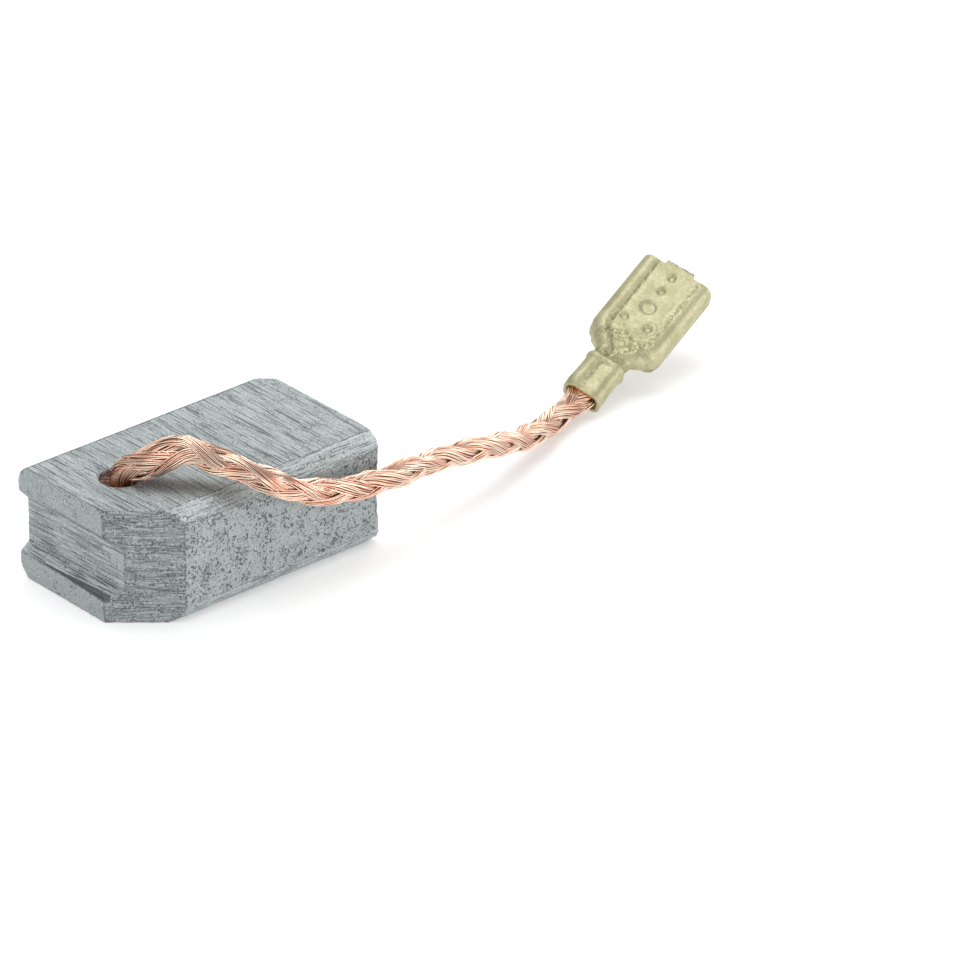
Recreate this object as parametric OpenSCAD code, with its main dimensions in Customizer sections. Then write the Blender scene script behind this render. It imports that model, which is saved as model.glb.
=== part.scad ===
// Carbon brush for the motor of a small angle grinder.
// A pressed carbon block carries a copper shunt braid, tamped into a hole in its
// top face, and the braid ends in a crimped receptacle for a 2.8 mm tab.
//
// +X runs along the block towards the contact face, +Y across it, +Z up.
// The origin is the centre of the block's bottom face.

/* [Carbon block] */
// Length from the rear lips to the tips of the contact face
block_len = 15; // [12:0.5:20]
// Width, parallel to the commutator's axis
block_w = 9; // [8:0.5:13]
// Height, in the direction in which the commutator passes
block_h = 6; // [5:0.2:9]
// Run of the bevels along the four long edges
bevel_run = 0.65; // [0.3:0.05:0.9]
// Rise of the bevels along the four long edges
bevel_rise = 0.85; // [0.3:0.05:1.0]
// Bulge of the bevels, outwards from a flat between their two edges
bevel_bulge = 0.15; // [0.02:0.01:0.16]
// Cut corner that keys the brush in its holder, measured along the length
corner_cut_len = 2.95; // [1:0.05:4]
// The same cut corner, measured across the width
corner_cut_w = 2.6; // [1:0.05:3.5]

/* [Spring groove] */
// Depth of the groove across the rear end
groove_depth = 0.7; // [0.3:0.05:1.2]
// Height of the lip under the groove
lower_lip_h = 1.3; // [0.9:0.05:1.6]
// Height of the lip over the groove
upper_lip_h = 1.4; // [0.9:0.05:1.6]
// Rise of the groove's lower flank
lower_flank_rise = 0.4; // [0.2:0.05:0.6]
// Rise of the groove's upper flank
upper_flank_rise = 0.6; // [0.2:0.05:0.8]
// Radius on the edges of the two lips
lip_edge_r = 0.18; // [0.05:0.01:0.25]

/* [Contact face] */
// Radius of the hollow that meets the commutator
contact_r = 25; // [12:1:40]
// Distance between the bedding grooves
bedding_pitch = 1.12; // [0.6:0.02:2]
// Width of one bedding groove
bedding_groove_w = 0.16; // [0.1:0.02:0.4]
// Depth of one bedding groove
bedding_groove_depth = 0.05; // [0.04:0.01:0.15]

/* [Shunt hole] */
// Room for powder round the braid in its hole
powder_room = 0.375; // [0.3:0.025:0.6]
// Depth of the hole from the top face
hole_depth = 4; // [3:0.1:4.5]
// Distance from the rear lips to the hole's axis
hole_from_rear = 2.85; // [2:0.05:5]
// Distance from the middle of the block to the hole's axis, away from the cut corner
hole_offset = 0.25; // [0:0.05:0.6]
// Width of the broken edge round the hole's mouth
hole_edge = 0.08; // [0.05:0.01:0.2]
// Gap from the top face down to the tamped powder
powder_drop = 0.3; // [0.1:0.05:0.8]

/* [Shunt braid] */
// Diameter of the braid
braid_d = 1.3; // [1:0.05:1.5]

/* [Receptacle] */
// Thickness of the brass sheet
sheet = 0.3; // [0.2:0.02:0.4]
// Length from the end of the crimp to the mouth
terminal_len = 9.05; // [8.7:0.05:12]
// Length of the part with the rolled sides
body_len = 5.15; // [4:0.05:5.4]
// Width over the rolled sides
body_w = 4.05; // [3.6:0.05:5]
// Height over the rolled sides
body_h = 2.0; // [1.8:0.05:2.6]
// Outer radius of the corners between the floor and the sides
floor_corner_r = 0.55; // [0.35:0.05:0.8]
// Outer radius of the rolled sides
curl_r = 0.85; // [0.6:0.05:0.95]
// Angle through which each side is rolled, counted from upright
curl_turn = 152; // [120:2:170]
// Length of the wire crimp
crimp_len = 2.2; // [1.8:0.1:3]
// Width of the crimp at its narrow end
crimp_w = 2.0; // [1.6:0.05:2.4]
// Height of the crimp at its narrow end
crimp_h = 1.4; // [1.2:0.05:2]
// Growth of the crimp towards the braid, as a ratio
bell_mouth = 1.14; // [1:0.01:1.25]
// Height of the shoulders between crimp and body
shoulder_h = 1.1; // [0.6:0.05:1.4]
// Width of the stub left by the carrier strip
stub_w = 1.6; // [1:0.1:2.4]
// Length of the stub left by the carrier strip
stub_len = 0.25; // [0.1:0.05:0.5]
// Diameter of the latching dimple
latch_dimple_d = 1; // [0.6:0.05:1.3]
// Diameter of the four small dimples
small_dimple_d = 0.6; // [0.4:0.05:0.8]
// Depth of the dimples
dimple_depth = 0.14; // [0.05:0.01:0.2]
// Distance from the mouth to the latching dimple
latch_from_mouth = 2.85; // [2.4:0.05:3.2]
// Distances from the mouth to the two small dimples on the middle line
front_dimples = [0.6, 1.6]; // [0.4:0.05:2]
// Distance from the mouth to the pair of small dimples
pair_from_mouth = 4; // [3.7:0.05:4.4]
// Distance between the dimples of the pair
pair_gap = 1.4; // [1:0.1:2]
// Turn of the receptacle about its own length, 180 with its floor upwards
terminal_roll = 200; // [180:1:220]

/* [Hidden] */

$fn = 96;
fit = 0.02;               // clearance between parts that close on each other
over = 1;                 // overshoot of the cutting shapes
lap = 0.01;               // overlap of shapes that are joined into one
curl_tail = 0.1;          // straight end of each rolled side
crimp_corner_r = 0.5;     // outer radius of the crimp's lower corners
dimple_taper = 0.6;       // width of a dimple's bottom, as a ratio of its rim

rear_x = -block_len / 2;
// The bevels never bulge past the two faces that they join
bevel_chord = norm([bevel_run, bevel_rise]);
bevel_lean = atan2(min(bevel_run, bevel_rise), max(bevel_run, bevel_rise));
bulge = min(bevel_bulge, bevel_chord / 2 * tan(bevel_lean / 2));
hole_x = rear_x + hole_from_rear;
hole_floor_z = block_h - hole_depth;
powder_top_z = block_h - powder_drop;
hole_d = braid_d + 2 * powder_room;
commutator_x = block_len / 2 + sqrt(contact_r * contact_r - block_h * block_h / 4);
bedding_count = 2 * floor((block_w / 2 - bedding_groove_w) / bedding_pitch) + 1;

// Middle line of the braid, from its foot in the powder to its cut end past the crimp
route = [
    [-4.75, 0.5, 2.4], [-4.75, 0.5, 3.7], [-4.75, 0.35, 5], [-4.6, -0.1, 6.15],
    [-4.15, -1, 7.05], [-3.45, -1.9, 7.65], [-2.6, -2.85, 7.8], [-1.85, -3.85, 7.55],
    [-1.05, -4.75, 7.05], [-0.15, -5.45, 6.45], [0.95, -5.8, 5.8], [2.1, -5.85, 5.25],
    [3.35, -5.85, 4.85], [4.6, -5.85, 4.55], [5.9, -5.75, 4.35], [7.15, -5.55, 4.15],
    [8.4, -5.3, 3.95], [9.65, -4.95, 3.7], [10.85, -4.65, 3.45], [12.1, -4.35, 3.15],
    [13.35, -4.15, 2.9], [14.6, -3.95, 2.6], [15.8, -3.7, 2.2], [17, -3.3, 1.8],
    [18.15, -2.9, 1.45], [19.35, -2.5, 1.2], [20.55, -2, 1], [21.7, -1.5, 0.9],
    [22.85, -1.1, 0.9], [23.85, -0.85, 1.1], [25.15, -0.55, 1.6], [26.71, -0.19, 2.2]
];
crimp_index = 29;         // the route's point at the crimp's open end

// Vectors and angles
function unit(v) = v / norm(v);
function turned(p, a) = [p.x * cos(a) - p.y * sin(a), p.x * sin(a) + p.y * cos(a)];
function reversed(list) = [for (i = [len(list) - 1:-1:0]) list[i]];

// A polygon whose corners are rounded to radius r by short chords
function round_corner(before, at, after, r, steps = 4) =
    let (
        to_before = unit(before - at),
        to_after = unit(after - at),
        half = acos(to_before * to_after) / 2,
        centre = at + unit(to_before + to_after) * r / sin(half),
        start = at + to_before * r / tan(half) - centre,
        side = sign(to_before.x * to_after.y - to_before.y * to_after.x),
        sweep = side * (180 - 2 * half)
    )
    [for (i = [0:steps]) centre + turned(start, -sweep * i / steps)];
function rounded(points, r) =
    [for (i = [0:len(points) - 1])
        let (n = len(points))
        each r[i] > 0
            ? round_corner(points[(i + n - 1) % n], points[i], points[(i + 1) % n], r[i])
            : [points[i]]];

// Points from a to b along an arc that stands out by h to the right of the way there
function bulged(a, b, h, steps = 6) =
    let (
        half_chord = norm(b - a) / 2,
        r = (half_chord * half_chord + h * h) / (2 * h),
        out = unit([b.y - a.y, a.x - b.x]),
        centre = (a + b) / 2 - out * (r - h),
        sweep = 2 * asin(half_chord / r)
    )
    [for (i = [0:steps]) centre + turned(out * r, sweep * (i / steps - 0.5))];

// The middle line of a bent strip: each step is [straight length, bend radius, bend angle]
function bend_points(at, heading, r, angle) =
    let (
        centre = at + turned([0, r], heading),
        steps = max(2, ceil(angle / 12))
    )
    [for (i = [1:steps]) centre + turned([0, -r], heading + angle * i / steps)];
function strip_line(at, heading, steps, i = 0) =
    i == len(steps) ? [at] :
    let (
        straight_end = at + turned([steps[i][0], 0], heading),
        arc = steps[i][2] > 0 ? bend_points(straight_end, heading, steps[i][1], steps[i][2]) : [],
        next = len(arc) > 0 ? arc[len(arc) - 1] : straight_end
    )
    concat([at, straight_end], [for (k = [0:1:len(arc) - 2]) arc[k]],
           strip_line(next, heading + steps[i][2], steps, i + 1));
function without_repeats(points) =
    [for (i = [0:len(points) - 1]) if (i == 0 || norm(points[i] - points[i - 1]) > 0.001) points[i]];
function strip_side(points, t) =
    [for (i = [0:len(points) - 1])
        let (
            before = unit(points[i] - points[max(i - 1, 0)] + (i == 0 ? points[1] - points[0] : [0, 0])),
            after = i == len(points) - 1 ? before : unit(points[i + 1] - points[i]),
            way = unit(before + after)
        )
        points[i] + [-way.y, way.x] * t / (2 * max(0.5, way * before))];

// A strip of thickness t, symmetrical about the Y axis, from the middle line of its right half
module bent_strip(half, t) {
    line = concat(reversed([for (p = half) [-p.x, p.y]]), [for (i = [1:len(half) - 1]) half[i]]);
    polygon(concat(strip_side(line, t), reversed(strip_side(line, -t))));
}

// ---- Carbon block ----

// Outline of the block seen from its side, with the groove across the rear end
module side_outline() {
    floor_x = rear_x + groove_depth;
    lower_z = lower_lip_h + lower_flank_rise;
    upper_z = block_h - upper_lip_h - upper_flank_rise;
    polygon(rounded(
        [[rear_x, -over], [commutator_x, -over], [commutator_x, block_h + over], [rear_x, block_h + over],
         [rear_x, block_h - upper_lip_h], [floor_x, upper_z], [floor_x, lower_z], [rear_x, lower_lip_h]],
        [0, 0, 0, 0, lip_edge_r, lip_edge_r, lip_edge_r, lip_edge_r]));
}

// Section of the block, with its four bulging bevels
module end_outline() {
    flat = block_w / 2 - bevel_run;
    side = block_w / 2;
    upper_z = block_h - bevel_rise;
    polygon(concat(
        bulged([flat, 0], [side, bevel_rise], bulge),
        bulged([side, upper_z], [flat, block_h], bulge),
        bulged([-flat, block_h], [-side, upper_z], bulge),
        bulged([-side, bevel_rise], [-flat, 0], bulge)));
}

// What the commutator would turn out of the contact face, with the ridges that leave
// the bedding grooves
module commutator() {
    half = block_w / 2 + over;
    function ridge(y) = [[contact_r, y - bedding_groove_w / 2], [contact_r + bedding_groove_depth, y],
                         [contact_r, y + bedding_groove_w / 2]];
    first = -(bedding_count - 1) / 2;
    ridges = [for (i = [0:bedding_count - 1]) each ridge((first + i) * bedding_pitch)];
    translate([commutator_x, 0, block_h / 2]) rotate([90, 0, 0])
        rotate_extrude($fn = 360) polygon(concat([[0, -half], [contact_r, -half]], ridges,
                                                 [[contact_r, half], [0, half]]));
}

module cut_corner() {
    run = [corner_cut_len, -corner_cut_w];
    start = [rear_x, -block_w / 2 + corner_cut_w];
    translate([0, 0, -over]) linear_extrude(block_h + 2 * over)
        polygon([start - run, start + 2 * run, [rear_x - corner_cut_len, -block_w / 2 - corner_cut_w]]);
}

module shunt_hole() {
    translate([hole_x, hole_offset, hole_floor_z]) cylinder(d = hole_d, h = hole_depth + over);
    translate([hole_x, hole_offset, block_h - hole_edge])
        cylinder(d1 = hole_d, d2 = hole_d + 4 * hole_edge, h = 2 * hole_edge);
}

module carbon_block() {
    color("slategray")
        difference() {
            intersection() {
                translate([0, block_w / 2 + over, 0]) rotate([90, 0, 0])
                    linear_extrude(block_w + 2 * over) side_outline();
                translate([rear_x - over, 0, 0]) rotate([90, 0, 90])
                    linear_extrude(block_len + 2 * over) end_outline();
            }
            cut_corner();
            commutator();
            shunt_hole();
        }
}

// Copper powder, tamped hard round the foot of the braid
module tamping_plug() {
    color("saddlebrown")
        difference() {
            translate([hole_x, hole_offset, hole_floor_z])
                cylinder(d = hole_d, h = powder_top_z - hole_floor_z);
            braid_tube();
        }
}

// ---- Shunt braid ----

last = len(route) - 1;
tangents = [for (i = [0:last])
    i == 0 ? unit(route[1] - route[0]) :
    i == last ? unit(route[last] - route[last - 1]) :
    unit(unit(route[i] - route[i - 1]) + unit(route[i + 1] - route[i]))];

// Each ring's first radius is the one before it, carried along without twist
function carried(n, i = 0) =
    i > last ? [] :
    let (here = unit(n - (n * tangents[i]) * tangents[i]))
    concat([here], carried(here, i + 1));

// In the crimp the round braid is pressed to an oval, between the floor and the edges of
// the two lobes
function pressed(i) = i >= crimp_index ? 1 : 0;
lobe_r = (crimp_w / 2 - fit) / 2;
lobe_edge_z = crimp_h - lobe_r;
crimp_floor_z = sheet * bell_mouth;
core_w = crimp_w - 2 * sheet - 2 * fit;
core_h = lobe_edge_z - crimp_floor_z - fit;
core_z = (lobe_edge_z + crimp_floor_z) / 2;

crimp_at = route[crimp_index];
crimp_way = unit(route[last] - crimp_at);
crimp_yaw = atan2(crimp_way.y, crimp_way.x);
crimp_pitch = asin(crimp_way.z);
// The terminal's own width and height directions in the part's frame
function yawed(v) = [v.x * cos(crimp_yaw) - v.y * sin(crimp_yaw),
                     v.x * sin(crimp_yaw) + v.y * cos(crimp_yaw), v.z];
function pitched(v) = [v.x * cos(crimp_pitch) - v.z * sin(crimp_pitch), v.y,
                       v.x * sin(crimp_pitch) + v.z * cos(crimp_pitch)];
width_way = yawed(pitched([0, cos(terminal_roll), sin(terminal_roll)]));

// The carried radius is turned a little from ring to ring, so that it ends on the
// crimp's width
plain_radii = carried([1, 0, 0]);
end_turn = let (n = plain_radii[last], b = cross(tangents[last], n)) atan2(width_way * b, width_way * n);

module braid_tube() {
    sides = 8;
    rings = [for (i = [0:last])
        let (
            turn = end_turn * min(1, i / crimp_index),
            n = plain_radii[i],
            b = cross(tangents[i], n),
            wide = n * cos(turn) + b * sin(turn),
            high = b * cos(turn) - n * sin(turn),
            w = pressed(i) * core_w + (1 - pressed(i)) * braid_d,
            h = pressed(i) * core_h + (1 - pressed(i)) * braid_d
        )
        [for (k = [0:sides - 1])
            let (a = (k + 0.5) * 360 / sides)
            route[i] + wide * cos(a) * w / 2 + high * sin(a) * h / 2]];
    walls = [for (i = [0:last - 1], k = [0:sides - 1])
        let (a = i * sides + k, b = i * sides + (k + 1) % sides)
        each [[b, a, b + sides], [b + sides, a, a + sides]]];
    foot = [for (k = [0:sides - 1]) k];
    tip = [for (k = [sides - 1:-1:0]) last * sides + k];
    polyhedron([for (ring = rings) each ring], concat(walls, [foot, tip]), convexity = 6);
}

module shunt_braid() {
    color("peru") braid_tube();
}

// ---- Receptacle ----
// In its own frame +X runs from the crimp to the mouth, the floor's outer face is at
// z = 0 and the sides are rolled up towards +Z.

body_x = terminal_len - body_len;

// Section through the body: floor, side and a long inward roll
module body_section() {
    corner = floor_corner_r - sheet / 2;
    curl = curl_r - sheet / 2;
    half = strip_line([0, sheet / 2], 0, [
        [body_w / 2 - floor_corner_r, corner, 90],
        [body_h - floor_corner_r - curl_r, curl, curl_turn],
        [curl_tail, 0, 0]]);
    bent_strip(without_repeats(half), sheet);
}

// Section through the crimp: both sides rolled over until their edges press on the braid
module crimp_section() {
    corner = crimp_corner_r - sheet / 2;
    lobe = lobe_r - sheet / 2;
    half = strip_line([0, sheet / 2], 0, [
        [crimp_w / 2 - crimp_corner_r, corner, 90],
        [crimp_h - crimp_corner_r - lobe_r, lobe, 180]]);
    bent_strip(without_repeats(half), sheet);
}

module along_x(length) {
    rotate([90, 0, 90]) linear_extrude(length) children();
}

// The open funnel between crimp and body
module shoulders() {
    slice = 0.05;
    start_x = crimp_len - sheet;
    module wall(inset) {
        hull() {
            translate([start_x - inset, 0, 0]) along_x(slice)
                trough_outline(crimp_w, crimp_corner_r, inset);
            translate([body_x - slice + 2 * inset, 0, 0]) along_x(slice)
                trough_outline(body_w, floor_corner_r, inset);
        }
    }
    module trough_outline(w, r, inset) {
        polygon(rounded(
            [[-w / 2 + inset, inset], [w / 2 - inset, inset],
             [w / 2 - inset, shoulder_h + (inset > 0 ? over : 0)],
             [-w / 2 + inset, shoulder_h + (inset > 0 ? over : 0)]],
            [r - inset, r - inset, 0, 0]));
    }
    difference() {
        wall(0);
        wall(sheet);
    }
}

// A dimple pressed through the sheet from outside
module dimple_bump(d) {
    translate([0, 0, sheet - lap]) cylinder(d1 = d, d2 = d * dimple_taper, h = dimple_depth + lap);
}
module dimple_hollow(d) {
    translate([0, 0, -lap]) cylinder(d1 = d, d2 = d * dimple_taper, h = dimple_depth + lap);
}
module at_dimples(small) {
    if (small) {
        for (x = front_dimples) translate([terminal_len - x, 0, 0]) children();
        for (side = [-1, 1]) translate([terminal_len - pair_from_mouth, side * pair_gap / 2, 0]) children();
    } else {
        translate([terminal_len - latch_from_mouth, 0, 0]) children();
    }
}

module receptacle() {
    difference() {
        union() {
            translate([body_x, 0, 0]) along_x(body_len) body_section();
            shoulders();
            translate([crimp_len, 0, 0]) mirror([1, 0, 0])
                rotate([90, 0, 90]) linear_extrude(crimp_len, scale = bell_mouth) crimp_section();
            translate([terminal_len - lap, -stub_w / 2, 0]) cube([stub_len + lap, stub_w, sheet]);
            at_dimples(true) dimple_bump(small_dimple_d);
            at_dimples(false) dimple_bump(latch_dimple_d);
        }
        at_dimples(true) dimple_hollow(small_dimple_d);
        at_dimples(false) dimple_hollow(latch_dimple_d);
    }
}

module receptacle_terminal() {
    color("palegoldenrod")
        translate(crimp_at) rotate([terminal_roll, -crimp_pitch, crimp_yaw])
            translate([0, 0, -core_z]) receptacle();
}

carbon_block();
tamping_plug();
shunt_braid();
receptacle_terminal();
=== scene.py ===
# %% [markdown]
# # A carbon brush
# The brush is a pressed carbon block that slides in a motor. A plaited copper shunt carries the current
# from the block to a small brass receptacle. Blender works in metres here, but the pieces are a few
# millimetres long, so each mesh is worked out in millimetres and scaled once, when it is made.

# %% Load the frame
import math
import random
import bmesh
import bpy
import numpy as np
from mathutils import Matrix, Vector, noise


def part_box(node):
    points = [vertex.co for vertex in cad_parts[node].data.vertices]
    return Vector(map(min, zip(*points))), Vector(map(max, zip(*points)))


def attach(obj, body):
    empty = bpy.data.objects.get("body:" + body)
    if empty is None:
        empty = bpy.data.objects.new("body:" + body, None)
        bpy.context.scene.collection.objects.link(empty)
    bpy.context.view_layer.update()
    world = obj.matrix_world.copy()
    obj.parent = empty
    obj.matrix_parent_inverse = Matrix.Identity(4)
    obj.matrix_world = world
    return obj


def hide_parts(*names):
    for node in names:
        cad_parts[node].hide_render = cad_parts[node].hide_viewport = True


MM = 0.001
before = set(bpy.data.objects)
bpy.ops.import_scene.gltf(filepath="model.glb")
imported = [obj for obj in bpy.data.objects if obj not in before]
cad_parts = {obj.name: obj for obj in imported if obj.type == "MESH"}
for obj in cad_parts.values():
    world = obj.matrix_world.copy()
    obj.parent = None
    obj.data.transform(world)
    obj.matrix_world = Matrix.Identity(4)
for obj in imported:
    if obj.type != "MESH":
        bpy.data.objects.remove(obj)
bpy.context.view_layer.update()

# %% [markdown]
# ## Camera
# A long lens from a third of a metre gives the calm, nearly parallel look of a parts catalogue. The
# camera could be aimed with a Track To constraint, but three plain axis vectors make a matrix that says
# exactly which way is right, up and back.

# %% Camera
CAMERA_AT = Vector((-182.774, -228.857, 159.066)) * MM
LENS_MM = 258.94
NEAR, FAR = 0.02, 20
azimuth, elevation = math.radians(-41.24), math.radians(27.88)
back = Vector((math.sin(azimuth) * math.cos(elevation), -math.cos(azimuth) * math.cos(elevation),
               math.sin(elevation)))
right = Vector((math.cos(azimuth), math.sin(azimuth), 0))
up = back.cross(right)
camera = bpy.data.objects.new("camera", bpy.data.cameras.new("camera"))
camera.matrix_world = (Matrix.Translation(CAMERA_AT)
                       @ Matrix((right, up, back)).transposed().to_4x4())
camera.data.lens = LENS_MM
camera.data.clip_start, camera.data.clip_end = NEAR, FAR
bpy.context.collection.objects.link(camera)
bpy.context.scene.camera = camera
print("camera", round(CAMERA_AT.length, 2), "m away, lens", LENS_MM, "mm")

# %% [markdown]
# ## Shunt: its route
# The shunt leaves its hole upwards, arches over the block's edge and runs down to the receptacle, which
# rests on the table. The route is a list of points that a smooth curve passes through; the CAD model
# sweeps its plain tube along the same points. Catmull-Rom is the simplest curve that goes through
# every point, and stepping along it at even distances keeps the plait regular.

# %% The route as a smooth line
ROUTE = np.array([
    (-4.75, 0.5, 2.4), (-4.75, 0.5, 3.7), (-4.75, 0.35, 5), (-4.6, -0.1, 6.15),
    (-4.15, -1, 7.05), (-3.45, -1.9, 7.65), (-2.6, -2.85, 7.8), (-1.85, -3.85, 7.55),
    (-1.05, -4.75, 7.05), (-0.15, -5.45, 6.45), (0.95, -5.8, 5.8), (2.1, -5.85, 5.25),
    (3.35, -5.85, 4.85), (4.6, -5.85, 4.55), (5.9, -5.75, 4.35), (7.15, -5.55, 4.15),
    (8.4, -5.3, 3.95), (9.65, -4.95, 3.7), (10.85, -4.65, 3.45), (12.1, -4.35, 3.15),
    (13.35, -4.15, 2.9), (14.6, -3.95, 2.6), (15.8, -3.7, 2.2), (17, -3.3, 1.8),
    (18.15, -2.9, 1.45), (19.35, -2.5, 1.2), (20.55, -2, 1), (21.7, -1.5, 0.9),
    (22.85, -1.1, 0.9), (23.85, -0.85, 1.1), (25.15, -0.55, 1.6), (26.71, -0.19, 2.2)])
CRIMP_START = ROUTE[29]
STEP = 0.2
PER_SPAN = 40


def smooth_line(points, step):
    """Points at even distances on a smooth curve through the given points, and those distances."""
    ends = np.vstack([2 * points[0] - points[1], points, 2 * points[-1] - points[-2]])
    t = np.linspace(0, 1, PER_SPAN, endpoint=False)[:, None]
    dense = [0.5 * (2 * b + (c - a) * t + (2 * a - 5 * b + 4 * c - d) * t**2
                    + (3 * b - a - 3 * c + d) * t**3)
             for a, b, c, d in zip(ends, ends[1:], ends[2:], ends[3:])]
    dense = np.vstack(dense + [points[-1:]])
    run = np.concatenate([[0], np.cumsum(np.linalg.norm(np.diff(dense, axis=0), axis=1))])
    marks = np.linspace(0, run[-1], round(run[-1] / step) + 1)
    return np.stack([np.interp(marks, run, dense[:, k]) for k in range(3)], axis=1), marks


line, along = smooth_line(ROUTE, STEP)
print("shunt", round(along[-1], 2), "mm long,", len(line), "stations")


# %% Directions across the shunt
def carried_axes(line):
    """Tangent, side and top directions, each carried from the last without twist."""
    tangent = np.gradient(line, axis=0)
    tangent /= np.linalg.norm(tangent, axis=1)[:, None]
    side = [np.cross(tangent[0], (0, 1, 0))]
    for t in tangent[1:]:
        s = side[-1] - side[-1].dot(t) * t
        side.append(s / np.linalg.norm(s))
    side[0] /= np.linalg.norm(side[0])
    side = np.array(side)
    return tangent, side, np.cross(tangent, side)


tangent, side_way, top_way = carried_axes(line)
print("the shunt starts along", tangent[0].round(2), "and ends along", tangent[-1].round(2))

# %% Directions at the crimp
CRIMP_ROLL = math.radians(200)

crimp_run = along[np.argmin(np.linalg.norm(line - CRIMP_START, axis=1))]
crimp_way = (ROUTE[-1] - CRIMP_START) / np.linalg.norm(ROUTE[-1] - CRIMP_START)
level = np.cross((0, 0, 1), crimp_way)
level /= np.linalg.norm(level)
upright = np.cross(crimp_way, level)
crimp_wide = math.cos(CRIMP_ROLL) * level + math.sin(CRIMP_ROLL) * upright
crimp_high = math.cos(CRIMP_ROLL) * upright - math.sin(CRIMP_ROLL) * level
print("the crimp begins", round(crimp_run, 2), "mm along")

# %% [markdown]
# ## Shunt: the plait
# Eight bundles of fine copper wires are plaited: four wind one way, four the other, and each goes over
# two and under two. A braid texture on the tube would be quick, but the outline, the gaps and the glints
# all come from real wires, with bands of dark copper under them as painted shade in the gaps. So each
# wire is a thin tube of its own: its angle grows with the distance along the shunt, and its height
# follows a flattened wave that puts it over, then under.

# %% Sizes of the plait
BUNDLES = 4            # wound each way
WIRES = 11             # in each bundle
WIRE_R = 0.0365
BUNDLE_W = 0.80
LEAD = 11.0            # along the shunt in one whole turn
MEAN_R = 0.52          # from the shunt's middle to the bundles
RISE = 0.085           # out or in from there, where a bundle crosses another
CROWN = 0.085          # how much lower a bundle's outer wires lie than its middle one
BEND_AT, BEND_REACH = 6.4, 1.9

# Where the shunt is bent over the edge of the hole the plait is looser: thicker, with a longer lead
loose = np.exp(-((along - BEND_AT) / BEND_REACH) ** 2)
swell = 1 + 0.33 * loose
turns = np.diff(along) / (LEAD * (1 + 0.15 * loose[1:]))
turned = np.concatenate([[0], np.cumsum(turns)]) * 2 * math.pi
print("the plait makes", round(turned[-1] / (2 * math.pi), 2), "turns")


# %% Path of one wire
def drift(scale, seed, amount):
    """A smooth random value for every station."""
    return amount * np.array([noise.noise(Vector((s * scale, seed * 7.31, seed * 1.7))) for s in along])


def wire_line(way, bundle, share, seed):
    """Angle and radius of one wire. way is 1 or -1, share runs from -1 to 1 across the bundle."""
    whole = way * 10 + bundle + 20      # a seed that the bundle's wires have in common
    start = 2 * math.pi * bundle / BUNDLES
    slope = math.atan2(2 * math.pi * MEAN_R, LEAD)
    share = share + drift(0.5, seed, 0.12) + drift(1.1, seed + 600, 0.07)
    width = BUNDLE_W / swell**0.6 * (1 + drift(0.35, whole + 50, 0.35))
    angle = way * turned + start + drift(0.25, whole, 0.28)
    angle = angle + share * width / 2 / (MEAN_R * math.cos(slope))
    crossed = (way * turned * 2 + start) * BUNDLES / (2 * math.pi)
    wave = way * np.cos(math.pi / 2 * (crossed + bundle) + math.pi / 4)
    wave = np.tanh(1.7 * wave) / math.tanh(1.7)
    radius = MEAN_R + RISE * wave - CROWN * share**2
    radius = radius + drift(0.9, seed + 300, 0.07) + drift(0.35, whole + 80, 0.06)
    return angle, radius * swell


print("a middle wire starts", round(wire_line(1, 0, 0, 1)[1][0], 2), "mm from the shunt's middle")


# %% Bends and grip
def ease(x):
    """0 to 1 with soft ends, for a number or a whole array."""
    x = np.clip(x, 0, 1)
    return x * x * (3 - 2 * x)


# Real wire doesn't bend evenly: the foot leans back, the top is sharper and the slope after it
# straighter. Each nudge has a place along the shunt, a reach and a way
NUDGES = ((4.1, 0.7, (-0.06, 0.05, 0.15)), (5.7, 0.6, (0, 0, -0.07)),
          (7.4, 0.6, (0.02, -0.03, 0.11)), (8.9, 0.9, (0, 0, -0.16)))
GRIP_BEFORE, GRIP_RUN, MOUTH_RUN = 0.9, 1.1, 1.2

lift = sum(np.exp(-((along - at) / reach) ** 2)[:, None] * way for at, reach, way in NUDGES)
grip = ease((along - crimp_run + GRIP_BEFORE) / GRIP_RUN)[:, None]
mouth = np.clip((crimp_run + MOUTH_RUN - along) / MOUTH_RUN, 0, 1)[:, None]


def place_round_line(angle, radius):
    """Points at an angle and a radius round the route, pressed flat where the crimp holds them."""
    out = (np.cos(angle) * radius)[:, None] * side_way + (np.sin(angle) * radius)[:, None] * top_way
    flat = (out @ crimp_high)[:, None] * crimp_high
    wide = (out @ crimp_wide)[:, None] * crimp_wide
    return line + out + lift - grip * ((0.66 - 0.16 * mouth) * flat - (0.38 * mouth + 0.06) * wide)


print("the nudges move the shunt by at most", round(np.linalg.norm(lift, axis=1).max(), 2), "mm")


# %% Thin tubes
def strip_quads(rows, width, closed, first):
    """Quads between neighbouring rows of points. In a closed row the last point joins the first."""
    row = np.arange(rows - 1)[:, None] * width
    here = np.arange(width if closed else width - 1)[None, :]
    there = (here + 1) % width
    corners = [row + here, row + there, row + width + there, row + width + here]
    return np.stack(corners, axis=-1).reshape(-1, 4) + first


def tube_round(centre, radius, sides, first):
    """Points and faces of a thin tube round a line of points."""
    forward = np.gradient(centre, axis=0)
    forward /= np.linalg.norm(forward, axis=1)[:, None]
    a = np.cross(forward, side_way[:1] + 0.31)
    a /= np.linalg.norm(a, axis=1)[:, None]
    b = np.cross(forward, a)
    turns = (np.arange(sides) * 2 * math.pi / sides)[None, :, None]
    rings = centre[:, None, :] + radius * (np.cos(turns) * a[:, None, :] + np.sin(turns) * b[:, None, :])
    return rings.reshape(-1, 3), strip_quads(len(centre), sides, True, first)


print("one wire has", len(tube_round(line, WIRE_R, 4, 0)[1]), "faces")


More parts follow.
